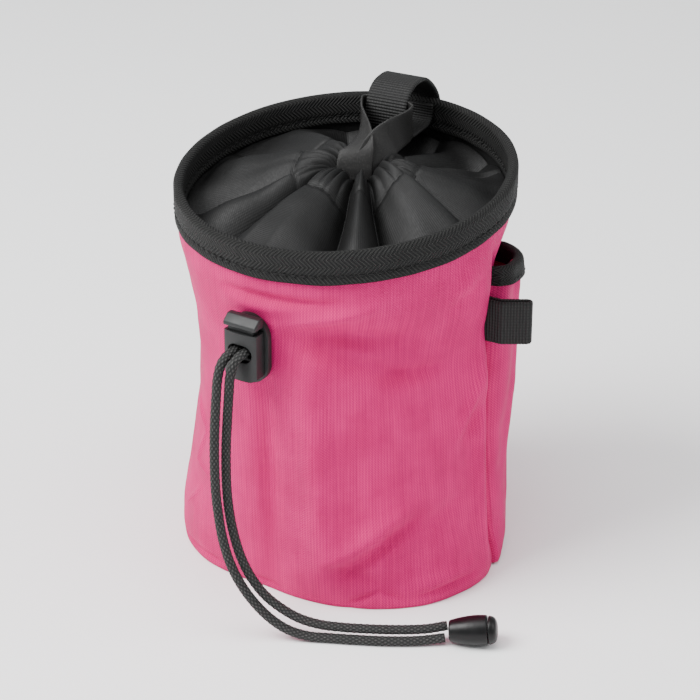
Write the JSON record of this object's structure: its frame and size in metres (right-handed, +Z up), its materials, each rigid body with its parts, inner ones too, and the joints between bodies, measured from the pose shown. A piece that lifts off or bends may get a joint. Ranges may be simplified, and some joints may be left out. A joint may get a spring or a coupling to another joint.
{
  "type": "climbing chalk bag",
  "caption": "Round nylon chalk bag with a taped rim, gathered drawstring collar, brush sleeve, webbing loops and a front cord lock.",
  "frame": {"origin": "middle of the base, on the surface that the bag stands on", "axes": "+Z up; -Y toward the cord lock at the front; +X toward the brush sleeve on the side"},
  "size_m": [0.151, 0.1461, 0.1627],
  "materials": {
    "pink_nylon": "woven, soft sheen",
    "black_twill": "coarse herringbone tape",
    "grey_nylon": "smooth, slight sheen",
    "black_webbing": "ribbed across its width",
    "grey_ribbon": "satin",
    "grey_plastic": "semi-gloss",
    "black_cord": "braided",
    "gloss_plastic": "polished"
  },
  "bodies": {
    "bag": {"body_shell": "pink_nylon", "base_panel": "pink_nylon", "rim_binding": "black_twill", "collar": "grey_nylon", "brush_sleeve": "pink_nylon", "sleeve_binding": "black_twill", "brush_loop": "black_webbing", "haul_loop": "black_webbing", "pull_ribbon": "grey_ribbon", "lock_plate": "grey_plastic", "lock_housing": "grey_plastic", "cord_left": "black_cord", "cord_right": "black_cord", "cord_end_bell": "gloss_plastic", "cord_end_cap": "gloss_plastic"},
    "button": {"lock_button": "grey_plastic"}
  },
  "joints": [
    {"name": "button_press", "type": "slide", "parent": "bag", "child": "button", "axis": [0, 0, -1], "range_m": [0, 0.0015], "stiffness_N_per_m": 800}
  ]
}
